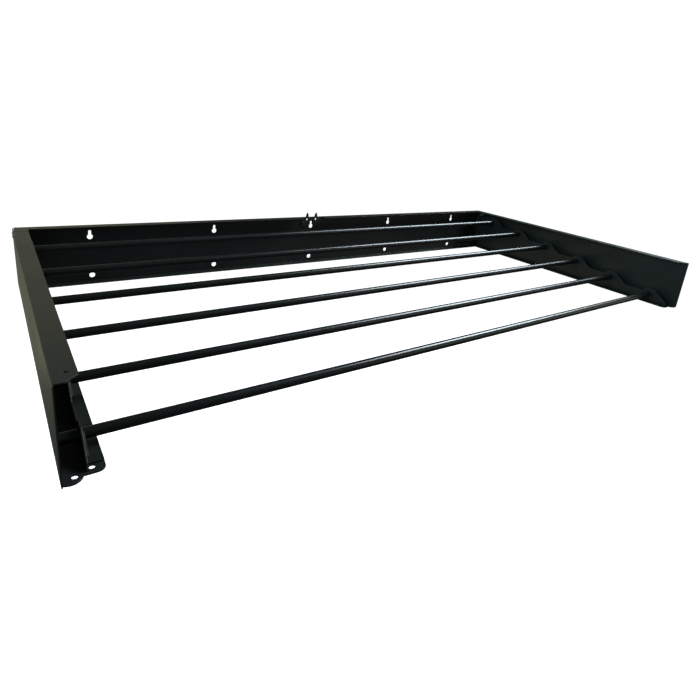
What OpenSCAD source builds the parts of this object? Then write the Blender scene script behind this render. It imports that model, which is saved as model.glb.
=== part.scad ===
// Wall mounted clothes drying rack: a shallow wall panel, two folded sheet
// arms joined by six round rods, and a pivot at each end that lets the frame
// lift up against the wall.
// Origin: middle of the panel's back face. +X right, +Y into the wall, +Z up.

/* [Overall] */
// Width over the outer faces of the two arms
rack_width = 1200; // [1040:10:1500]
// How far the arms reach out from the wall
arm_reach = 596; // [592:1:640]
// Height of an arm
arm_height = 102; // [101:1:108]
// Height of the wall panel
panel_height = 110; // [108:1:120]
// Thickness of every folded sheet
sheet = 1.5; // [1.2:0.1:2]

/* [Wall panel] */
// How far the panel's lips stand out from the wall
lip_depth = 18; // [16:1:18]
// Number of keyhole columns
key_columns = 5; // [3:2:5]
// Distance between two keyhole columns
key_pitch = 240; // [150:5:240]
// Distance between the two keyhole rows
key_rows = 75; // [60:1:80]
// Diameter of the round part of a keyhole
key_diameter = 10; // [8:0.5:11]
// Width of the slot above the round part
key_slot = 5; // [4:0.5:6]

/* [Arms] */
// Width of an arm's top flange
flange_width = 22; // [20:1:24]
// Width of an arm's bottom plate
base_width = 39; // [38:1:42]
// Distance from an arm's outer face to its rod rail
rail_offset = 22.5; // [22:0.5:23]

/* [Rods] */
// Diameter of a rod
rod_diameter = 12; // [10:0.5:12]
// Wall thickness of a rod's tube
rod_wall = 1; // [0.8:0.1:1.5]
// Distance from the wall to the first rod
first_rod = 80; // [76:1:80]
// Distance from one rod to the next
rod_pitch = 92.6; // [90:0.2:92.6]
// Depth of the first rod below the arm's top
first_drop = 20; // [18:0.5:20.5]
// How much lower each rod lies than the one behind it
rod_step = 13.1; // [12:0.1:13.2]

/* [Pivots] */
// Diameter of a pivot pin
pin_diameter = 6; // [5:0.5:6]
// Distance from the wall to the pivot
pivot_out = 22; // [22:1:23]
// Radial play of the arm on its pin
pin_play = 0.05; // [0.03:0.01:0.1]

/* [Hidden] */
$fn = 48;

black = [0.07, 0.07, 0.075];
rod_black = [0.10, 0.10, 0.11];
steel = [0.55, 0.55, 0.57];
plastic = [0.05, 0.05, 0.05];
nylon = [0.80, 0.80, 0.76];
rubber = [0.12, 0.12, 0.12];

rod_count = 6;
pivot_drop = 8;

top = panel_height / 2;
arm_bottom = top - arm_height;
pivot_y = -pivot_out;
pivot_z = top - pivot_drop;
key_lower = 5;
key_drop = (panel_height - key_rows) / 2;

// The parts of an end, counted inwards from the arm's outer face
washer_gap = 0.8;
ear_offset = sheet + washer_gap;
plate_offset = ear_offset + sheet;
plate_thickness = 3;
plate_drop = 34;
plate_setback = 1;
nut_offset = plate_offset + plate_thickness;
nut_thickness = 4.5;
pin_head = 1.6;
pin_head_diameter = 11;
pin_tip = 1;
pin_end = nut_offset + nut_thickness + pin_tip;
nut_diameter = 11.4;
tight_fit = 0.02;
rivet_play = 0.05;
head_gap = 0.05;
// How far a cutter runs past the face it cuts
past = 1;

// The arm's rear end clears the panel's lip and its own path round the pivot
wall_gap = 1;
ear_radius = 8;
lip_gap = 0.5;
rear_corner = 5;
cap_overrun = 9;
flange_gap = 2;
rail_gap = 3;
cap_reach = pivot_out + cap_overrun;
flange_rear = cap_reach + flange_gap;
base_rear = lip_depth + lip_gap;
stop_height = 25;
rail_rear = cap_reach + rail_gap;

// The arm's front end
flange_setback = 3;
flange_square = 10;
flange_mitre = 11;
flange_hole = 4.5;
flange_hole_place = [12.9, 21.5];
hang_hole = 6;
hang_hole_outer = [11.9, 10];
hang_hole_inner = [27.3, 17.8];
lobe_outer = [8, 11.5, 11.5];
lobe_inner_front = 8.5;
lobe_inner_corner = 8;
fold_radius = 1.3;

// The rail's top edge: a hump over each rod and a low stretch between two rods,
// as distances forwards of the rod's centre and above it
hump_rear = -14;
hump_crest_rear = -7;
hump_crest_front = 9;
hump_front = 38;
hump_crest = 12.7;
hump_low = 5.2;
rail_front = 12;
foot_front = 22;
grommet_wall = 2;
grommet_rim = 1.75;
grommet_hole = rod_diameter + 2 * grommet_wall;
grommet_flange = grommet_hole + 2 * grommet_rim;
grommet_lip = 1.2;
rod_play = 0.05;
dart_height = 1.6;
dart = [[-10.5, 9.5], [-32, -4.5], [-15, -7]];

rivet_diameter = 4;
rivet_head = 7;
rivet_head_height = 1.2;
rail_foot = base_width - rail_offset;

plug_head = 2;
plug_depth = 12;
rod_gap = 0.3;
rod_end = sheet + rod_gap + plug_head;

bumper_offset = 26;
bumper_rise = 13;
bumper_z = arm_bottom + bumper_rise;
bumper_diameter = 14;
bumper_stem = 5;
stop_gap = 0.1;
tab_width = 24;

hook_width = 60;
hook_pitch = 24;
// One upright prong, from the middle of its root
prong = [[-4, -2], [4, -2], [3.2, 6], [0.6, 11], [-3, 4.4]];
hook_side = 1;
key_clear = 7;
hook_depth = 22;
hook_eye = 5;
hook_rivet_reach = 23;
hook_rivet_drop = 14;

function rod_y(i) = -first_rod - rod_pitch * (i - 1);
function rod_z(i) = top - first_drop - rod_step * (i - 1);
function rod_places() = [for (i = [1 : rod_count]) [rod_y(i), rod_z(i)]];

// Puts a left end's part in its place, or mirrors it to the right end
module at_end(right) {
    mirror([right ? 1 : 0, 0, 0])
        translate([-rack_width / 2, 0, 0]) children();
}

// Stands a (Y, Z) outline up and gives it a thickness along X
module plate_x(from, thickness) {
    translate([from, 0, 0]) rotate([90, 0, 90])
        linear_extrude(height = thickness) children();
}

// Lies an (X, Y) outline flat and gives it a thickness along Z
module plate_z(from, thickness) {
    translate([0, 0, from]) linear_extrude(height = thickness) children();
}

// A round bar along X through a point of the (Y, Z) plane
module bar_x(from, length, diameter, place) {
    translate([from, place[0], place[1]]) rotate([0, 90, 0])
        cylinder(h = length, d = diameter);
}

// ---------- wall panel ----------

// Centres of the keyholes' round parts
function keyhole_places() = [for (column = [0 : key_columns - 1], row = [-1, 1])
    [(column - (key_columns - 1) / 2) * key_pitch, row * key_rows / 2 - key_lower]];

module keyhole() {
    circle(d = key_diameter);
    translate([-key_slot / 2, 0]) square([key_slot, key_diameter]);
    translate([0, key_diameter]) circle(d = key_slot);
}

module panel_face() {
    half = rack_width / 2 - ear_offset;
    difference() {
        translate([-half, -top]) square([2 * half, panel_height]);
        for (place = keyhole_places()) translate(place) keyhole();
        for (side = [-1, 1]) {
            translate([side * hook_pitch / 2, top - key_drop / 3]) circle(d = hook_eye);
            translate([side * hook_rivet_reach, top - hook_rivet_drop])
                circle(d = rivet_diameter + 2 * rivet_play);
            translate([side * (rack_width / 2 - bumper_offset), bumper_z])
                circle(d = bumper_stem);
        }
    }
}

module panel_lips() {
    half = rack_width / 2 - ear_offset;
    notch = hook_width / 2;
    for (side = [-1, 1]) {
        low = side < 0 ? -half : notch;
        plate_z(top - sheet, sheet) translate([low, -lip_depth]) square([half - notch, lip_depth]);
        // The lip's deeper corner closes the gap behind the arm's flange
        cap = side < 0 ? -half : half - (flange_width - ear_offset);
        plate_z(top - sheet, sheet) translate([cap, -cap_reach])
            square([flange_width - ear_offset, cap_reach]);
    }
    plate_z(-top, sheet) translate([-half, -lip_depth]) square([2 * half, lip_depth]);
}

module ear_outline() {
    translate([-lip_depth, -top]) square([lip_depth, panel_height]);
    translate([pivot_y, pivot_z]) circle(r = ear_radius);
    translate([pivot_y, pivot_z]) square([pivot_out, ear_radius]);
}

module wall_panel() {
    color(black) difference() {
        union() {
            rotate([90, 0, 0]) linear_extrude(height = sheet) panel_face();
            panel_lips();
            for (right = [false, true]) at_end(right) plate_x(ear_offset, sheet) ear_outline();
        }
        for (right = [false, true]) at_end(right)
            bar_x(ear_offset - past, sheet + 2 * past, pin_diameter + 2 * tight_fit, [pivot_y, pivot_z]);
    }
}

module hook_outline() {
    difference() {
        union() {
            translate([hook_side - hook_width / 2, top - hook_depth])
                square([hook_width - 2 * hook_side, hook_depth - hook_side]);
            for (side = [-1, 1]) translate([side * hook_pitch / 2, top])
                polygon(prong);
        }
        for (side = [-1, 1]) {
            translate([side * hook_pitch / 2, top - key_drop / 3]) circle(d = hook_eye);
            translate([side * hook_rivet_reach, top - hook_rivet_drop])
                circle(d = rivet_diameter + 2 * rivet_play);
        }
        // Leaves the middle keyhole free
        translate([0, key_rows / 2 - key_lower]) {
            circle(r = key_clear);
            translate([-key_slot, 0]) square([2 * key_slot, key_diameter + key_slot]);
        }
    }
}

module hook_plate() {
    color(black) translate([0, -sheet, 0]) rotate([90, 0, 0])
        linear_extrude(height = sheet) hook_outline();
}

module hook_plate_rivets() {
    color(black) for (side = [-1, 1])
        translate([side * hook_rivet_reach, 0, top - hook_rivet_drop]) rotate([90, 0, 0]) {
            cylinder(h = 2 * sheet, d = rivet_diameter);
            translate([0, 0, 2 * sheet]) cylinder(h = rivet_head_height, d = rivet_head);
        }
}

module bumper(right) {
    color(rubber) at_end(right) translate([bumper_offset, 0, bumper_z]) rotate([90, 0, 0]) {
        cylinder(h = sheet, d = bumper_stem - 2 * tight_fit);
        translate([0, 0, sheet])
            cylinder(h = base_rear - sheet - stop_gap, d = bumper_diameter);
    }
}

// ---------- pivots ----------

module pivot_plate(right) {
    color(black) at_end(right) difference() {
        plate_x(plate_offset, plate_thickness) {
            translate([plate_setback - lip_depth, pivot_z - plate_drop])
                square([lip_depth - sheet - plate_setback, plate_drop + pivot_drop - sheet]);
            translate([pivot_y, pivot_z]) circle(r = pivot_drop - sheet);
            translate([pivot_y, pivot_z - pivot_drop + sheet])
                square([pivot_out - sheet, 2 * (pivot_drop - sheet)]);
        }
        bar_x(plate_offset - past, plate_thickness + 2 * past, pin_diameter + 2 * tight_fit, [pivot_y, pivot_z]);
    }
}

module pivot_pin(right) {
    color(steel) at_end(right) {
        bar_x(-pin_head, pin_head - head_gap, pin_head_diameter, [pivot_y, pivot_z]);
        bar_x(-pin_head, pin_end + pin_head, pin_diameter, [pivot_y, pivot_z]);
    }
}

module pivot_washer(right) {
    color(nylon) at_end(right) difference() {
        bar_x(sheet + head_gap, washer_gap - head_gap, pin_head_diameter, [pivot_y, pivot_z]);
        bar_x(0, ear_offset + past, pin_diameter + 2 * tight_fit, [pivot_y, pivot_z]);
    }
}

module pivot_nut(right) {
    color(steel) at_end(right) difference() {
        translate([nut_offset, pivot_y, pivot_z]) rotate([0, 90, 0])
            cylinder(h = nut_thickness, d = nut_diameter, $fn = 6);
        bar_x(nut_offset - past, nut_thickness + 2 * past, pin_diameter + 2 * tight_fit, [pivot_y, pivot_z]);
    }
}

// ---------- arms ----------

// Outer wall, with its upper rear corner rounded to turn clear of the wall
module arm_wall_outline() {
    centre = [-wall_gap - rear_corner, top - rear_corner];
    difference() {
        translate([-arm_reach, arm_bottom]) square([arm_reach - wall_gap, arm_height]);
        translate(centre) square(rear_corner + past);
    }
    translate(centre) circle(r = rear_corner);
}

module flange_outline() {
    difference() {
        polygon([[0, -flange_rear], [flange_width, -flange_rear],
                 [flange_width, flange_setback + flange_mitre - arm_reach],
                 [flange_square, flange_setback - arm_reach],
                 [0, flange_setback - arm_reach]]);
        translate([flange_hole_place[0], flange_hole_place[1] - arm_reach]) circle(d = flange_hole);
    }
}

// Bottom plate with a round lobe in front of the channel and a rounded one beside it
module base_outline() {
    inner = [base_width - lobe_inner_corner, lobe_inner_front + lobe_inner_corner - arm_reach];
    difference() {
        union() {
            translate([0, inner[1]]) square([base_width, -base_rear - inner[1]]);
            translate([lobe_outer[0], lobe_inner_front - arm_reach])
                square([inner[0] - lobe_outer[0], lobe_inner_corner]);
            translate(inner) circle(r = lobe_inner_corner);
            intersection() {
                translate([lobe_outer[0], lobe_outer[1] - arm_reach]) circle(r = lobe_outer[2]);
                translate([0, -arm_reach]) square([base_width, 2 * lobe_outer[2]]);
            }
        }
        for (place = [hang_hole_outer, hang_hole_inner])
            translate([place[0], place[1] - arm_reach]) circle(d = hang_hole);
    }
}

// The sharp corner that an arm's fold doesn't have, along its whole length
module fold_corner(bottom) {
    corner = bottom ? arm_bottom : top;
    inward = bottom ? 1 : -1;
    rotate([90, 0, 0]) linear_extrude(height = arm_reach + past) difference() {
        translate([-past, corner - (bottom ? past : fold_radius)])
            square(fold_radius + past);
        translate([fold_radius, corner + inward * fold_radius]) circle(r = fold_radius);
    }
}

module arm(right) {
    color(black) at_end(right) difference() {
        union() {
            plate_x(0, sheet) arm_wall_outline();
            plate_z(top - sheet, sheet) flange_outline();
            plate_z(arm_bottom, sheet) base_outline();
            // Rear tab that rests on the rubber bumper
            translate([bumper_offset - tab_width / 2, -base_rear - sheet, arm_bottom])
                cube([tab_width, sheet, stop_height]);
        }
        for (bottom = [false, true]) fold_corner(bottom);
        bar_x(-past, sheet + 2 * past, pin_diameter + 2 * pin_play, [pivot_y, pivot_z]);
    }
}

// ---------- rod rails ----------

// Four corners of the rail's top edge round each rod, from the wall forwards
function hump_edge() = [for (place = rod_places(), corner = [
        [hump_rear, hump_low], [hump_crest_rear, hump_crest],
        [hump_crest_front, hump_crest], [hump_front, hump_low - rod_step]])
    [place[0] - corner[0], place[1] + corner[1]]];

module rail_outline() {
    difference() {
        polygon(concat(
            [[-rail_rear, arm_bottom + sheet], [-rail_rear, rod_z(1) + hump_low]],
            hump_edge(),
            [[rail_front - arm_reach, arm_bottom + 2 * sheet],
             [rail_front - arm_reach, arm_bottom + sheet]]));
        for (place = rod_places()) translate(place) circle(d = grommet_hole);
    }
}

module rod_rail(right) {
    color(black) at_end(right) {
        plate_x(rail_offset, sheet) rail_outline();
        // Pressed dart that stiffens the edge in front of each rod
        plate_x(rail_offset + sheet, dart_height) for (place = rod_places())
            translate(place) polygon(dart);
        // Foot, spot welded to the bottom plate
        plate_z(arm_bottom + sheet, sheet) translate([rail_offset, foot_front - arm_reach])
            square([rail_foot, arm_reach - foot_front - rail_rear]);
    }
}

// ---------- rods ----------

module rod(i) {
    length = rack_width - 2 * rod_end;
    color(rod_black) difference() {
        bar_x(-length / 2, length, rod_diameter, [rod_y(i), rod_z(i)]);
        bar_x(-length / 2 - past, length + 2 * past, rod_diameter - 2 * rod_wall, [rod_y(i), rod_z(i)]);
    }
}

module rod_plugs(right) {
    color(plastic) at_end(right) for (place = rod_places()) {
        bar_x(rod_end - plug_head, plug_head, rod_diameter, place);
        bar_x(rod_end, plug_depth, rod_diameter - 2 * rod_wall - 2 * tight_fit, place);
    }
}

module rod_grommets(right) {
    color(plastic) at_end(right) for (place = rod_places()) difference() {
        union() {
            bar_x(rail_offset - grommet_lip, 2 * grommet_lip + sheet, grommet_hole - 2 * tight_fit, place);
            bar_x(rail_offset - grommet_lip, grommet_lip, grommet_flange, place);
            bar_x(rail_offset + sheet, grommet_lip, grommet_flange, place);
        }
        bar_x(rail_offset - 2 * past, sheet + 4 * past, rod_diameter + 2 * rod_play, place);
    }
}

wall_panel();
hook_plate();
hook_plate_rivets();
pivot_plate(false);  // pivot_plate_left
pivot_plate(true);  // pivot_plate_right
pivot_pin(false);  // pivot_pin_left
pivot_pin(true);  // pivot_pin_right
pivot_washer(false);  // pivot_washer_left
pivot_washer(true);  // pivot_washer_right
pivot_nut(false);  // pivot_nut_left
pivot_nut(true);  // pivot_nut_right
bumper(false);  // bumper_left
bumper(true);  // bumper_right
arm(false);  // arm_left
arm(true);  // arm_right
rod_rail(false);  // rod_rail_left
rod_rail(true);  // rod_rail_right
rod(1);  // rod_1
rod(2);  // rod_2
rod(3);  // rod_3
rod(4);  // rod_4
rod(5);  // rod_5
rod(6);  // rod_6
rod_plugs(false);  // rod_plugs_left
rod_plugs(true);  // rod_plugs_right
rod_grommets(false);  // rod_grommets_left
rod_grommets(true);  // rod_grommets_right
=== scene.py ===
# Wall mounted clothes drying rack of folded black sheet steel: a shallow wall panel, two channel
# shaped arms that turn on a pin at each of its upper ends, and six round rods between the arms.
import math

import bpy
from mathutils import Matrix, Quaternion, Vector


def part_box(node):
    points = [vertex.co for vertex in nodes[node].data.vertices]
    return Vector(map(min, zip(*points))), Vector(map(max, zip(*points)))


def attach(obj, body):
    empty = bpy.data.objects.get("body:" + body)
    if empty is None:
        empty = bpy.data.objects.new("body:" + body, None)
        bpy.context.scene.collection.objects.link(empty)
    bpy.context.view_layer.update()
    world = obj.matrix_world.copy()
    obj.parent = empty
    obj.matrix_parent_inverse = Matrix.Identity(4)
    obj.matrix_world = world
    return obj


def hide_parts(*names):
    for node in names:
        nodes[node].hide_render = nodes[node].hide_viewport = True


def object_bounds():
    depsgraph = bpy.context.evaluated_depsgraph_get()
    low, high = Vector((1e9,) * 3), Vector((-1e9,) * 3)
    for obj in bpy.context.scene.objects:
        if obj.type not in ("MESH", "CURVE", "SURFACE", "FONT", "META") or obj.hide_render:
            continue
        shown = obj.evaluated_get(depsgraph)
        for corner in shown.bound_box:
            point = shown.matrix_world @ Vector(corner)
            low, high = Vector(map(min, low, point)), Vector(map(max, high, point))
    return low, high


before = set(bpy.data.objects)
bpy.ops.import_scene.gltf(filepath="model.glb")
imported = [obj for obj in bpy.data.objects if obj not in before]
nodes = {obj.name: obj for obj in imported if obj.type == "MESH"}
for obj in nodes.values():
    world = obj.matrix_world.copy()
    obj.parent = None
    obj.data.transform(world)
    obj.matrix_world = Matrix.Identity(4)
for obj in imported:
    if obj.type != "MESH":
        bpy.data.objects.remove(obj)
cad_low, cad_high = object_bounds()

# ---------- wall panel ----------
# A shallow tray of 1.5 mm steel sheet, cut, folded forward along its top and bottom and at both
# ends, then powder coated in a finely textured satin black. Its ten keyholes hang on wall screws.

COAT_DARK = (0.0100, 0.0112, 0.0108, 1)
COAT_PALE = (0.0180, 0.0196, 0.0188, 1)
# Paler coat colour for the edges: partly rubbed wear, partly a painted edge highlight
EDGE_WEAR_AND_HIGHLIGHT = (0.075, 0.080, 0.080, 1)
DUST = (0.10, 0.10, 0.095, 1)
FLAT_MATCH = 0.99
EDGE_MATCH = 0.78
COAT_RELIEF = 0.0002


def feed(tree, source, socket):
    """Links one node's output to a socket, or sets the socket to a plain value."""
    if isinstance(source, bpy.types.NodeSocket):
        tree.links.new(source, socket)
    else:
        socket.default_value = source


def add_node(tree, kind, settings=None, **sources):
    """A new node, with its settings, and its input sockets fed by name."""
    made = tree.nodes.new(kind)
    for name, value in (settings or {}).items():
        setattr(made, name, value)
    for name, source in sources.items():
        feed(tree, source, made.inputs[name.replace("_", " ")])
    return made


def noise(tree, scale, detail=3.0, roughness=0.5):
    """A noise fixed to the piece, in features per metre."""
    made = add_node(
        tree,
        "ShaderNodeTexNoise",
        Vector=add_node(tree, "ShaderNodeTexCoord").outputs["Object"],
        Scale=scale,
        Detail=detail,
        Roughness=roughness,
    )
    return made.outputs["Fac"]


def remap(tree, source, low, high):
    """0 where the source is at its low value, 1 at its high one, and held between them."""
    made = add_node(tree, "ShaderNodeMapRange", Value=source, From_Min=low, From_Max=high)
    return made.outputs["Result"]


def multiply(tree, first, second):
    """The product of two values."""
    made = add_node(tree, "ShaderNodeMath", {"operation": "MULTIPLY"})
    feed(tree, first, made.inputs[0])
    feed(tree, second, made.inputs[1])
    return made.outputs["Value"]


def mix(tree, kind, share, first, second):
    """Two values (FLOAT) or colours (RGBA) mixed by a share of the second."""
    made = add_node(tree, "ShaderNodeMix", {"data_type": kind}, Factor=share, A=first, B=second)
    return made.outputs["Result"]


def new_group(name, inputs, outputs):
    """An empty node group with its named inputs, each with its usual value, and its outputs."""
    tree = bpy.data.node_groups.new(name, "ShaderNodeTree")
    kinds = {"colour": "NodeSocketColor", "value": "NodeSocketFloat", "vector": "NodeSocketVector"}
    for socket, (kind, usual) in inputs.items():
        made = tree.interface.new_socket(socket, in_out="INPUT", socket_type=kinds[kind])
        made.default_value = usual
    for socket, kind in outputs.items():
        tree.interface.new_socket(socket, in_out="OUTPUT", socket_type=kinds[kind])
    return tree, tree.nodes.new("NodeGroupInput").outputs, tree.nodes.new("NodeGroupOutput").inputs


def make_edge_group():
    """Rounds the shading of sharp sheet edges, and marks them in patches for a paler colour: partly
    where hands and pegs rub them, partly a painted highlight along the edges.
    """
    inputs = {"Radius": ("value", 0.0006), "Wear and highlight": ("value", 0.5)}
    tree, given, out = new_group("rounded edges", inputs, {"Normal": "vector", "Mask": "value"})
    rounded = add_node(tree, "ShaderNodeBevel", {"samples": 6}, Radius=given["Radius"])
    flat = add_node(tree, "ShaderNodeNewGeometry").outputs["True Normal"]
    match = add_node(tree, "ShaderNodeVectorMath", {"operation": "DOT_PRODUCT"})
    feed(tree, rounded.outputs["Normal"], match.inputs[0])
    feed(tree, flat, match.inputs[1])
    on_edge = remap(tree, match.outputs["Value"], FLAT_MATCH, EDGE_MATCH)
    patches = remap(tree, noise(tree, 38.0, 5.0, 0.65), 0.36, 0.66)
    feed(tree, rounded.outputs["Normal"], out["Normal"])
    # The mask lightens the edges in patches: rubbed wear, and a painted highlight along them
    feed(tree, multiply(tree, multiply(tree, on_edge, patches), given["Wear and highlight"]), out["Mask"])
    return tree


def make_grain_group():
    """Melted grains of a powder coat, slow waves, faint dust, and the film's uneven tone."""
    inputs = {
        "Dark": ("colour", COAT_DARK),
        "Pale": ("colour", COAT_PALE),
        "Grains": ("value", 1400.0),
        "Waves": ("value", 0.4),
        "Smooth": ("value", 0.34),
        "Rough": ("value", 0.50),
        "Dust": ("value", 0.35),
    }
    outputs = {"Colour": "colour", "Roughness": "value", "Height": "value"}
    tree, given, out = new_group("powder coat grain", inputs, outputs)
    grains = noise(tree, given["Grains"], 3.0, 0.55)
    blotches = remap(tree, noise(tree, 7.0, 5.0, 0.62), 0.3, 0.7)
    mottled = mix(tree, "FLOAT", 0.45, blotches, grains)
    film = mix(tree, "RGBA", mottled, given["Dark"], given["Pale"])
    specks = remap(tree, noise(tree, 520.0, 2.0, 0.7), 0.66, 0.74)
    dusty = mix(tree, "RGBA", multiply(tree, specks, given["Dust"]), film, DUST)
    feed(tree, dusty, out["Colour"])
    feed(tree, mix(tree, "FLOAT", mottled, given["Smooth"], given["Rough"]), out["Roughness"])
    feed(tree, mix(tree, "FLOAT", given["Waves"], grains, noise(tree, 210.0, 2.0)), out["Height"])
    return tree


ROUNDED_EDGES = make_edge_group()
COAT_GRAIN = make_grain_group()


def coated(name, bump, edge_radius=0.0006, **finish):
    """A powder coat: its grain comes from one group, and its paler edges, partly rubbed wear and
    partly a painted edge highlight, from the other; its gloss comes from the shader.
    """
    material = bpy.data.materials.new(name)
    material.use_nodes = True
    tree = material.node_tree
    shader = tree.nodes["Principled BSDF"]
    shader.inputs["Specular IOR Level"].default_value = 0.5
    grain = add_node(tree, "ShaderNodeGroup", {"node_tree": COAT_GRAIN}, **finish)
    edge = add_node(tree, "ShaderNodeGroup", {"node_tree": ROUNDED_EDGES}, Radius=edge_radius)
    # Edges are mixed towards the paler colour: rubbed wear and a painted edge highlight
    worn_and_highlit = mix(tree, "RGBA", edge.outputs["Mask"], grain.outputs["Colour"], EDGE_WEAR_AND_HIGHLIGHT)
    feed(tree, worn_and_highlit, shader.inputs["Base Color"])
    feed(tree, grain.outputs["Roughness"], shader.inputs["Roughness"])
    raised = add_node(
        tree,
        "ShaderNodeBump",
        Strength=bump,
        Distance=COAT_RELIEF,
        Height=grain.outputs["Height"],
        Normal=edge.outputs["Normal"],
    )
    feed(tree, raised.outputs["Normal"], shader.inputs["Normal"])
    return material


def finish_node(name, material):
    """Gives a sheet part its coat in place of the plain colour it was packed with."""
    part = nodes[name]
    part.data.materials.clear()
    part.data.materials.append(material)


SATIN_COAT = coated("satin textured powder coat", bump=0.5)
finish_node("wall_panel", SATIN_COAT)

# ---------- hook plate ----------
# A small cut plate against the front of the panel, in the notch of its top lip, with two upright
# prongs and two round eyes. It has the same coat, and two dome headed rivets fix it to the panel.

finish_node("hook_plate", SATIN_COAT)

TURNED_STEPS = 72
SHARP_ANGLE = 35
WELD_DISTANCE = 1e-6
# An outline starts and ends this close to the axis, so that no face has two corners in one place
POINT = 1e-6


def turned(name, outline, starts, direction, material, body, node):
    """Turned pieces that stand for a node, one from each start along the direction.
    The outline gives (distance, radius), and a third value where a ring is cut to a hexagon."""
    spin = Vector(direction).to_track_quat("Z", "Y")
    corners = []
    faces = []
    for start in starts:
        first = len(corners)
        for along, radius, *flats in outline:
            for step in range(TURNED_STEPS):
                angle = 2 * math.pi * step / TURNED_STEPS
                off_flat = (math.degrees(angle) + 30) % 60 - 30
                reach = min([radius] + [flat / math.cos(math.radians(off_flat)) for flat in flats])
                spot = Vector((reach * math.cos(angle), reach * math.sin(angle), along))
                corners.append(Vector(start) + spin @ spot)
        for ring in range(len(outline) - 1):
            low = first + ring * TURNED_STEPS
            high = low + TURNED_STEPS
            for step in range(TURNED_STEPS):
                after = (step + 1) % TURNED_STEPS
                faces.append((low + step, low + after, high + after, high + step))
    mesh = bpy.data.meshes.new(name)
    mesh.from_pydata(corners, [], faces)
    mesh.shade_smooth()
    mesh.set_sharp_from_angle(angle=math.radians(SHARP_ANGLE))
    mesh.materials.append(material)
    part = bpy.data.objects.new(name, mesh)
    bpy.context.scene.collection.objects.link(part)
    weld = part.modifiers.new("joined ends", "WELD")
    weld.merge_threshold = WELD_DISTANCE
    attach(part, body)
    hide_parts(node)


def rounded(along, radius, rise, narrowing, steps=6):
    """Outline points of a quarter round that rises along the axis while the radius narrows."""
    points = []
    for step in range(steps + 1):
        angle = 0.5 * math.pi * step / steps
        across = radius - narrowing * (1 - math.cos(angle))
        points.append((along + rise * math.sin(angle), max(across, POINT)))
    return points


SHEET = 0.0015
RIVET_SHANK = 0.002
RIVET_HEAD = 0.0035
RIVET_RISE = 0.0012
RIVET_OUTLINE = [(0, POINT), (0, RIVET_SHANK), (2 * SHEET, RIVET_SHANK)]
RIVET_OUTLINE += rounded(2 * SHEET, RIVET_HEAD, RIVET_RISE, RIVET_HEAD)

low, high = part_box("hook_plate_rivets")
hook_rivet_z = (low.z + high.z) / 2
turned(
    "hook_plate_domed_rivets",
    RIVET_OUTLINE,
    [(low.x + RIVET_HEAD, high.y, hook_rivet_z), (high.x - RIVET_HEAD, high.y, hook_rivet_z)],
    (0, -1, 0),
    SATIN_COAT,
    "panel",
    "hook_plate_rivets",
)

# ---------- pivots ----------
# At each upper end a zinc plated steel pin with a socket in its head passes through the arm, a
# nylon washer, the panel's ear and a welded backing plate, and a hexagon nut holds it.

ENDS = {"left": 1, "right": -1}
ZINC_DARK = (0.42, 0.43, 0.45, 1)
ZINC_PALE = (0.66, 0.66, 0.64, 1)
BARE_RELIEF = 0.0001


def make_fine_surface_group():
    """Uneven colour, gloss and fine relief of a bare surface, such as zinc, nylon or rubber."""
    inputs = {
        "Dark": ("colour", ZINC_DARK),
        "Pale": ("colour", ZINC_PALE),
        "Blotches": ("value", 160.0),
        "Relief": ("value", 2600.0),
        "Smooth": ("value", 0.25),
        "Rough": ("value", 0.45),
    }
    outputs = {"Colour": "colour", "Roughness": "value", "Height": "value"}
    tree, given, out = new_group("fine surface", inputs, outputs)
    blotches = remap(tree, noise(tree, given["Blotches"], 4.0, 0.6), 0.34, 0.66)
    relief = noise(tree, given["Relief"], 2.0, 0.5)
    uneven = mix(tree, "FLOAT", 0.3, blotches, relief)
    feed(tree, mix(tree, "RGBA", uneven, given["Dark"], given["Pale"]), out["Colour"])
    feed(tree, mix(tree, "FLOAT", uneven, given["Smooth"], given["Rough"]), out["Roughness"])
    feed(tree, relief, out["Height"])
    return tree


FINE_SURFACE = make_fine_surface_group()


def bare(name, bump, metallic=0.0, **finish):
    """A bare surface without a coat, with its fine relief from the group."""
    material = bpy.data.materials.new(name)
    material.use_nodes = True
    tree = material.node_tree
    shader = tree.nodes["Principled BSDF"]
    shader.inputs["Metallic"].default_value = metallic
    surface = add_node(tree, "ShaderNodeGroup", {"node_tree": FINE_SURFACE}, **finish)
    feed(tree, surface.outputs["Colour"], shader.inputs["Base Color"])
    feed(tree, surface.outputs["Roughness"], shader.inputs["Roughness"])
    height = surface.outputs["Height"]
    raised = add_node(tree, "ShaderNodeBump", Strength=bump, Distance=BARE_RELIEF, Height=height)
    feed(tree, raised.outputs["Normal"], shader.inputs["Normal"])
    return material


ZINC = bare("bright zinc plate", 0.25, metallic=1.0)
NYLON = bare(
    "natural nylon",
    0.3,
    Dark=(0.60, 0.59, 0.52, 1),
    Pale=(0.74, 0.73, 0.67, 1),
    Smooth=0.38,
    Rough=0.52,
)

PIN_HEAD = 0.0055
PIN_HEAD_DEPTH = 0.00155
PIN_SHANK = 0.0030
PIN_TIP = 0.0025
SOCKET_DEPTH = 0.0011
SOCKET_FLAT = 0.0015
# A hexagon is cut from any ring wider than its corners
UNCUT = 0.0090
PIN_OUTLINE = [
    (SOCKET_DEPTH, POINT),
    (SOCKET_DEPTH, UNCUT, SOCKET_FLAT),
    (0.00015, UNCUT, SOCKET_FLAT + 0.0001),
    (0, 0.0023),
    (0, 0.0040),
    (0.0003, PIN_HEAD - 0.0006),
    (0.0008, PIN_HEAD - 0.0001),
    (0.0012, PIN_HEAD),
    (PIN_HEAD_DEPTH, PIN_HEAD - 0.0001),
    (PIN_HEAD_DEPTH, PIN_SHANK),
]
THREAD_TURNS = 5
THREAD_PITCH = 0.0005
THREAD_ROOT = 0.0027
THREAD_STOP = 0.0004
BORE = 0.0031
WASHER_EDGE = 0.0001
NUT_CHAMFER = 0.0006
NUT_LEAD_IN = 0.0004

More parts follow.
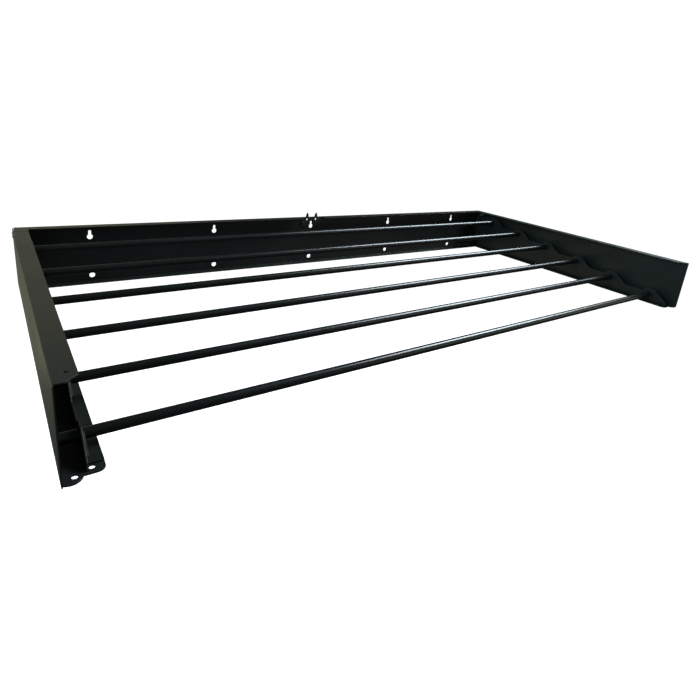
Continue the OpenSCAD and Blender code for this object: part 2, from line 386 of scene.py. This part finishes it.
for side, inward in ENDS.items():
    finish_node(f"pivot_plate_{side}", SATIN_COAT)
    low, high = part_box(f"pivot_pin_{side}")
    outer = low.x if inward > 0 else high.x
    length = high.x - low.x
    axis = (low + high) / 2
    thread = []
    for turn in range(THREAD_TURNS):
        crest = length - THREAD_STOP - (THREAD_TURNS - turn) * THREAD_PITCH
        thread += [(crest, PIN_SHANK), (crest + THREAD_PITCH / 2, THREAD_ROOT)]
    thread += [(length - THREAD_STOP, PIN_SHANK - 0.0001), (length, PIN_TIP), (length, POINT)]
    turned(
        f"pivot_pin_turned_{side}",
        PIN_OUTLINE + thread,
        [(outer, axis.y, axis.z)],
        (inward, 0, 0),
        ZINC,
        "panel",
        f"pivot_pin_{side}",
    )
    low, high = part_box(f"pivot_washer_{side}")
    near = low.x if inward > 0 else high.x
    thick = high.x - low.x
    rim = (high.z - low.z) / 2
    turned(
        f"pivot_washer_turned_{side}",
        [(0, BORE), (0, rim - WASHER_EDGE), (WASHER_EDGE, rim), (thick - WASHER_EDGE, rim)]
        + [(thick, rim - WASHER_EDGE), (thick, BORE), (0, BORE)],
        [(near, axis.y, axis.z)],
        (inward, 0, 0),
        NYLON,
        "panel",
        f"pivot_washer_{side}",
    )
    low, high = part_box(f"pivot_nut_{side}")
    near = low.x if inward > 0 else high.x
    thick = high.x - low.x
    corner = (high.z - low.z) / 2
    flat = corner * math.cos(math.radians(30))
    turned(
        f"pivot_nut_chamfered_{side}",
        [(0, BORE), (0, flat), (NUT_CHAMFER, corner, flat), (thick - NUT_CHAMFER, corner, flat)]
        + [(thick, flat), (thick, 0.0036), (thick - NUT_LEAD_IN, BORE), (0, BORE)],
        [(near, axis.y, axis.z)],
        (inward, 0, 0),
        ZINC,
        "panel",
        f"pivot_nut_{side}",
    )

# ---------- rubber bumpers ----------
# A moulded rubber button is pressed through a hole near each lower end of the panel. The arm's
# rear tab rests on its face when the rack stands out from the wall.

RUBBER = bare(
    "black moulded rubber",
    0.5,
    Dark=(0.016, 0.016, 0.016, 1),
    Pale=(0.035, 0.034, 0.032, 1),
    Smooth=0.62,
    Rough=0.82,
)

STEM = 0.00248
BACK_CHAMFER = 0.0006
ROUND_EDGE = 0.0012
DIMPLE = 0.0022
DIMPLE_DEPTH = 0.0010

for side in ENDS:
    low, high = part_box(f"bumper_{side}")
    reach = high.y - low.y
    face = (high.x - low.x) / 2
    turned(
        f"bumper_button_{side}",
        [(0, POINT), (0, STEM), (SHEET, STEM), (SHEET, face - BACK_CHAMFER)]
        + [(SHEET + BACK_CHAMFER, face)]
        + rounded(reach - ROUND_EDGE, face, ROUND_EDGE, ROUND_EDGE)
        + [(reach, DIMPLE), (reach - DIMPLE_DEPTH, 0.0018), (reach - DIMPLE_DEPTH, POINT)],
        [((low.x + high.x) / 2, high.y, (low.z + high.z) / 2)],
        (0, -1, 0),
        RUBBER,
        "panel",
        f"bumper_{side}",
    )

# ---------- arms and rod rails ----------
# Each arm is a channel of folded sheet, open towards the middle. A humped rail stands inside it
# on a spot welded foot, and holds the rods. The arm and its rail are coated as one.

for side in ENDS:
    finish_node(f"arm_{side}", SATIN_COAT)
    finish_node(f"rod_rail_{side}", SATIN_COAT)

# ---------- rods ----------
# Six round steel tubes, 12 mm across, in a smoother and glossier black coat. Each one lies lower
# than the one behind it, so that hanging clothes don't touch.

ROD_COAT = coated(
    "semi-gloss rod coat",
    bump=0.18,
    Dark=(0.0070, 0.0078, 0.0080, 1),
    Pale=(0.0120, 0.0132, 0.0135, 1),
    Smooth=0.20,
    Rough=0.32,
    Dust=0.2,
)
RODS = [f"rod_{number}" for number in range(1, 7)]
for rod in RODS:
    finish_node(rod, ROD_COAT)

# ---------- rod grommets and plugs ----------
# A flanged ring of black nylon lines each hole in a rail, and a domed nylon plug closes each end
# of a tube, hidden between the rail and the arm's outer wall.

BLACK_NYLON = bare(
    "black moulded nylon",
    0.4,
    Dark=(0.010, 0.010, 0.010, 1),
    Pale=(0.020, 0.020, 0.020, 1),
    Smooth=0.42,
    Rough=0.58,
)
PLAY = 0.00005
FLANGE = 0.0012
GROMMET_WALL = 0.00198
TUBE_WALL = 0.001
SOFT_EDGE = 0.0003
PLUG_HEAD = 0.002

for side, inward in ENDS.items():
    rod_axes = []
    for rod in RODS:
        low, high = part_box(rod)
        rod_axes.append((low + high) / 2)
    tube = (high.z - low.z) / 2
    bore = tube + PLAY
    neck = tube + GROMMET_WALL
    low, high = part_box(f"rod_grommets_{side}")
    outer = low.x if inward > 0 else high.x
    deep = high.x - low.x
    rim = (high.z - low.z - (rod_axes[0].z - rod_axes[-1].z)) / 2
    turned(
        f"rod_grommet_rings_{side}",
        [(SOFT_EDGE, bore), (0, bore + SOFT_EDGE), (0, rim - SOFT_EDGE), (SOFT_EDGE, rim)]
        + [(FLANGE - SOFT_EDGE, rim), (FLANGE, rim - SOFT_EDGE), (FLANGE, neck)]
        + [(deep - FLANGE, neck), (deep - FLANGE, rim - SOFT_EDGE)]
        + [(deep - FLANGE + SOFT_EDGE, rim), (deep - SOFT_EDGE, rim), (deep, rim - SOFT_EDGE)]
        + [(deep, bore + SOFT_EDGE), (deep - SOFT_EDGE, bore), (SOFT_EDGE, bore)],
        [(outer, axis.y, axis.z) for axis in rod_axes],
        (inward, 0, 0),
        BLACK_NYLON,
        "frame",
        f"rod_grommets_{side}",
    )
    low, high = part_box(f"rod_plugs_{side}")
    outer = low.x if inward > 0 else high.x
    deep = high.x - low.x
    head = (high.z - low.z - (rod_axes[0].z - rod_axes[-1].z)) / 2
    stem = tube - TUBE_WALL - PLAY
    turned(
        f"rod_end_plugs_{side}",
        [(0, POINT), (0.0001, 0.5 * head), (0.0004, 0.8 * head), (0.0009, head - 0.0002)]
        + [(0.0012, head), (PLUG_HEAD, head), (PLUG_HEAD, stem)]
        + [(deep - 0.0005, stem), (deep, stem - 0.0005), (deep, POINT)],
        [(outer, axis.y, axis.z) for axis in rod_axes],
        (inward, 0, 0),
        BLACK_NYLON,
        "frame",
        f"rod_plugs_{side}",
    )

# ---------- floor, light and camera ----------
# The rack hangs above a plain pale floor in a pale room. A bluish window light from the upper right
# draws the lines along the rods, warm light from behind glances off the left arm, and two soft
# fills, a warm one in front and a cool one at the left, open the shadows.

FLOOR_DROP = 1.2
FLOOR_HALF = 40.0
FLOOR_TONES = (0.86, 0.86, 0.85, 1), (0.90, 0.90, 0.89, 1)
ROOM_TONES = (0.045, 0.050, 0.050, 1), (1.1, 1.1, 1.1, 1)
mesh = bpy.data.meshes.new("floor")
floor_z = cad_low.z - FLOOR_DROP
mesh.from_pydata(
    [(x * FLOOR_HALF, y * FLOOR_HALF, floor_z) for x, y in ((-1, -1), (1, -1), (1, 1), (-1, 1))],
    [],
    [(0, 1, 2, 3)],
)
floor = bpy.data.objects.new("floor", mesh)
bpy.context.scene.collection.objects.link(floor)
floor.visible_glossy = False
floor.visible_diffuse = False

pale_floor = bpy.data.materials.new("pale floor")
pale_floor.use_nodes = True
shader = pale_floor.node_tree.nodes["Principled BSDF"]
shader.inputs["Roughness"].default_value = 0.9
shader.inputs["Emission Color"].default_value = (1, 1, 1, 1)
shader.inputs["Emission Strength"].default_value = 1.0
tones = noise(pale_floor.node_tree, 0.6, 4.0, 0.6)
tone = mix(pale_floor.node_tree, "RGBA", tones, *FLOOR_TONES)
feed(pale_floor.node_tree, tone, shader.inputs["Base Color"])
mesh.materials.append(pale_floor)

world = bpy.data.worlds.new("pale room")
world.use_nodes = True
bpy.context.scene.world = world
tree = world.node_tree
seen = add_node(tree, "ShaderNodeLightPath").outputs["Is Camera Ray"]
room = mix(tree, "RGBA", seen, *ROOM_TONES)
feed(tree, room, tree.nodes["Background"].inputs["Color"])


def soft_light(name, place, aim, size, colour, power):
    """A rectangular softbox that faces a point."""
    lamp = bpy.data.lights.new(name, "AREA")
    lamp.shape = "RECTANGLE"
    lamp.size, lamp.size_y = size
    lamp.color = colour
    lamp.energy = power
    made = bpy.data.objects.new(name, lamp)
    made.location = place
    made.rotation_euler = (Vector(aim) - Vector(place)).to_track_quat("-Z", "Y").to_euler()
    bpy.context.scene.collection.objects.link(made)


soft_light("window", (2.1, -0.5, 2.0), (0.0, -0.3, 0), (1.2, 1.2), (0.80, 0.93, 1.0), 105)
soft_light("warm wall", (-1.5, 2.6, 0.9), (-0.6, 0, 0), (5.0, 1.0), (1.0, 0.93, 0.55), 8)
soft_light("warm wall below", (-2.0, 1.7, -0.7), (-0.6, -0.3, 0), (2.4, 1.2), (1.0, 0.95, 0.60), 4.0)
soft_light("front fill", (2.6, -2.6, 0.4), (0.3, 0, 0), (2.4, 1.6), (1.0, 0.96, 0.78), 8)
soft_light("left fill", (-2.2, -0.9, 1.0), (0.6, -0.4, 0), (2.0, 2.0), (0.58, 0.90, 1.0), 32)

CAMERA_PLACE = (-0.62598, -1.02627, 0.28507)
CAMERA_HEADING = 36.47
CAMERA_TILT = 17.13
CAMERA_ROLL = 5.42
CAMERA_LENS = 25.948
CAMERA_SHIFT = -0.106
camera = bpy.data.objects.new("camera", bpy.data.cameras.new("camera"))
camera.location = CAMERA_PLACE
camera.rotation_mode = "QUATERNION"
heading = Vector((0, 0, 1)), math.radians(-CAMERA_HEADING)
tilt = Vector((1, 0, 0)), math.radians(90 - CAMERA_TILT)
roll = Vector((0, 0, 1)), math.radians(CAMERA_ROLL)
camera.rotation_quaternion = Quaternion(*heading) @ Quaternion(*tilt) @ Quaternion(*roll)
camera.data.sensor_width = 36
camera.data.lens = CAMERA_LENS
camera.data.shift_y = CAMERA_SHIFT
camera.data.clip_start = 0.01
bpy.context.scene.collection.objects.link(camera)
bpy.context.scene.camera = camera
bpy.context.scene.view_settings.view_transform = "Standard"
